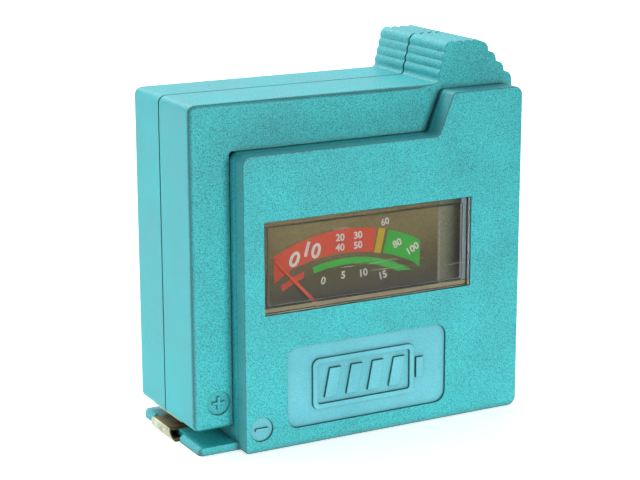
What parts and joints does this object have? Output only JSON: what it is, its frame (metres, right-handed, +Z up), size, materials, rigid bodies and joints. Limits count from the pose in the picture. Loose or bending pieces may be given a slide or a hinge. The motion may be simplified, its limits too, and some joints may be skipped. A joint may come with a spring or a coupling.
{
  "type": "battery tester",
  "caption": "Pocket battery tester: analogue meter body with a sliding arm that clamps a cell against a spring-clip lip, and side contacts for a snap-top battery.",
  "frame": {"origin": "middle of the bounding box's underside, on the surface the tester stands on", "axes": "+Z up, front face with the window faces -Y, +X to the right seen from the front"},
  "size_m": [0.0618, 0.0262, 0.0645],
  "materials": {
    "teal_plastic": "fine-grained satin moulded plastic",
    "clear_lens": "clear polystyrene, lightly scratched",
    "dial_print": "olive-bronze lacquer with printed scale",
    "black_plastic": "matt black moulding",
    "brass_contact": "nickel-washed brass, worn",
    "plated_steel": "zinc-plated",
    "iron": "dark soft iron and magnet",
    "needle_paint": "orange-red lacquer",
    "coil_wire": "enamelled copper wire",
    "resistor_body": "lacquered",
    "wire_black": "PVC insulation",
    "wire_red": "PVC insulation"
  },
  "bodies": {
    "meter_body": {"front_cover": "teal_plastic", "rear_housing": "teal_plastic", "lens": "clear_lens", "meter_frame": "black_plastic", "dial_plate": "dial_print", "field_ring": "iron", "core_magnet": "iron", "core_strap": "brass_contact", "front_bridge": "brass_contact", "front_bearing": "brass_contact", "rear_bearing": "brass_contact", "dial_screws": "plated_steel", "meter_terminals": "brass_contact", "guide_rail": "brass_contact", "stop_pin": "plated_steel", "negative_clip": "brass_contact", "nine_volt_contacts": "plated_steel", "cell_resistor": "resistor_body", "nine_volt_resistor": "resistor_body", "negative_wire": "wire_black", "positive_wire": "wire_red", "nine_volt_plus_wire": "wire_red", "nine_volt_minus_wire": "wire_black", "housing_screws": "plated_steel"},
    "slider": {"slider_front_half": "teal_plastic", "slider_rear_half": "teal_plastic", "positive_contact": "brass_contact", "slider_strip": "brass_contact", "wiper_spring": "plated_steel", "slider_screws": "plated_steel"},
    "needle": {"pointer": "needle_paint", "pointer_pivots": "plated_steel", "moving_coil": "coil_wire", "balance_weight": "plated_steel", "hairspring": "brass_contact"}
  },
  "joints": [
    {"name": "slider_slide", "type": "slide", "parent": "meter_body", "child": "slider", "axis": [0, 0, 1], "range_m": [0, 0.0495]},
    {"name": "pointer_swing", "type": "hinge", "parent": "meter_body", "child": "needle", "pos_m": [-0.0029, -0.0035, 0.0173], "axis": [0, 1, 0], "range_deg": [0, 87], "stiffness_Nm_per_rad": 0.00002, "springref_deg": -17.19}
  ]
}
